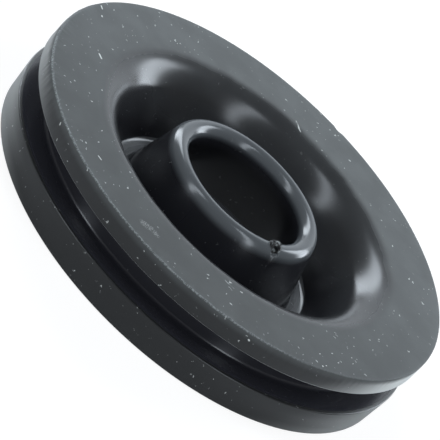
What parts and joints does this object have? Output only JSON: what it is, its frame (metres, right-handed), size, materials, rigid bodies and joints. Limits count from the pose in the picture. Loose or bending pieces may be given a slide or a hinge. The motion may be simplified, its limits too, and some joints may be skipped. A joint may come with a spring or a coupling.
{
  "type": "rubber gasket",
  "caption": "Round moulded rubber gasket with a panel groove round its rim and a short tubular neck in its bowl, which seals a pipe or cable where it passes through a panel.",
  "frame": {"origin": "centre of the flat rear face, on the bore's axis", "axes": "+Z along the bore's axis, from the flat rear face to the front face with the bowl; X and Y lie in the rear face"},
  "size_m": [0.05, 0.05, 0.0093],
  "materials": {
    "black_rubber": "matte with a grey bloom on the ground faces, and a moulded gloss in the bowl, the neck and the groove"
  },
  "bodies": {
    "root": {"gasket": "black_rubber"}
  },
  "joints": []
}
